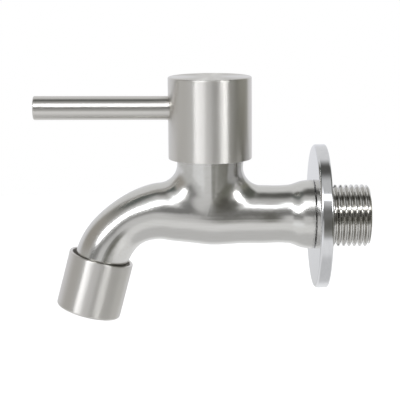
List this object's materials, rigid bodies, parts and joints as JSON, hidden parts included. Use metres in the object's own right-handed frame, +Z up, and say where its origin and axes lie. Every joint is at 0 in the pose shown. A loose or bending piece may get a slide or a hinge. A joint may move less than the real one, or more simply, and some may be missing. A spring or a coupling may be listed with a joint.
{
  "type": "wall-mounted tap",
  "caption": "Wall-mounted tap with a round wall flange, a threaded inlet, a quarter-turn cap with a rod lever and a curved spout with a screwed nozzle.",
  "frame": {"origin": "on the inlet thread's axis, where the back of the wall flange meets the wall", "axes": "+Z up, +Y into the wall along the inlet thread, the spout reaches towards -Y, +X to the side"},
  "size_m": [0.0486, 0.1123, 0.0822],
  "materials": {
    "body_steel": "satin polished",
    "flange_steel": "polished",
    "handle_steel": "satin turned",
    "collar_steel": "fine brushed",
    "clip_steel": "plain",
    "cartridge_brass": "machined",
    "spindle_brass": "machined",
    "ceramic": "lapped ceramic",
    "rubber": "matte",
    "white_plastic": "moulded",
    "insert_plastic": "moulded"
  },
  "bodies": {
    "body": {"tap_body": "body_steel", "cartridge_housing": "cartridge_brass", "cartridge_seal_ring": "rubber", "seat_seal": "rubber", "fixed_disc": "ceramic", "nozzle_collar": "collar_steel", "aerator_washer": "rubber", "aerator_housing": "white_plastic", "aerator_strainer": "clip_steel", "aerator_diffuser": "white_plastic", "aerator_grid": "white_plastic"},
    "handle": {"handle_cap": "handle_steel", "spline_insert": "insert_plastic", "lever_rod": "handle_steel", "grub_screw": "clip_steel", "spindle": "spindle_brass", "spindle_o_rings": "rubber", "moving_disc": "ceramic", "friction_washer": "white_plastic", "spindle_clip": "clip_steel"},
    "flange": {"wall_flange": "flange_steel"}
  },
  "joints": [
    {"name": "handle_turn", "type": "hinge", "parent": "body", "child": "handle", "pos_m": [0, -0.039, 0], "axis": [0, 0, 1], "range_deg": [0, 90]},
    {"name": "flange_slide", "type": "slide", "parent": "body", "child": "flange", "axis": [0, 1, 0], "range_m": [0, 0.009]}
  ]
}
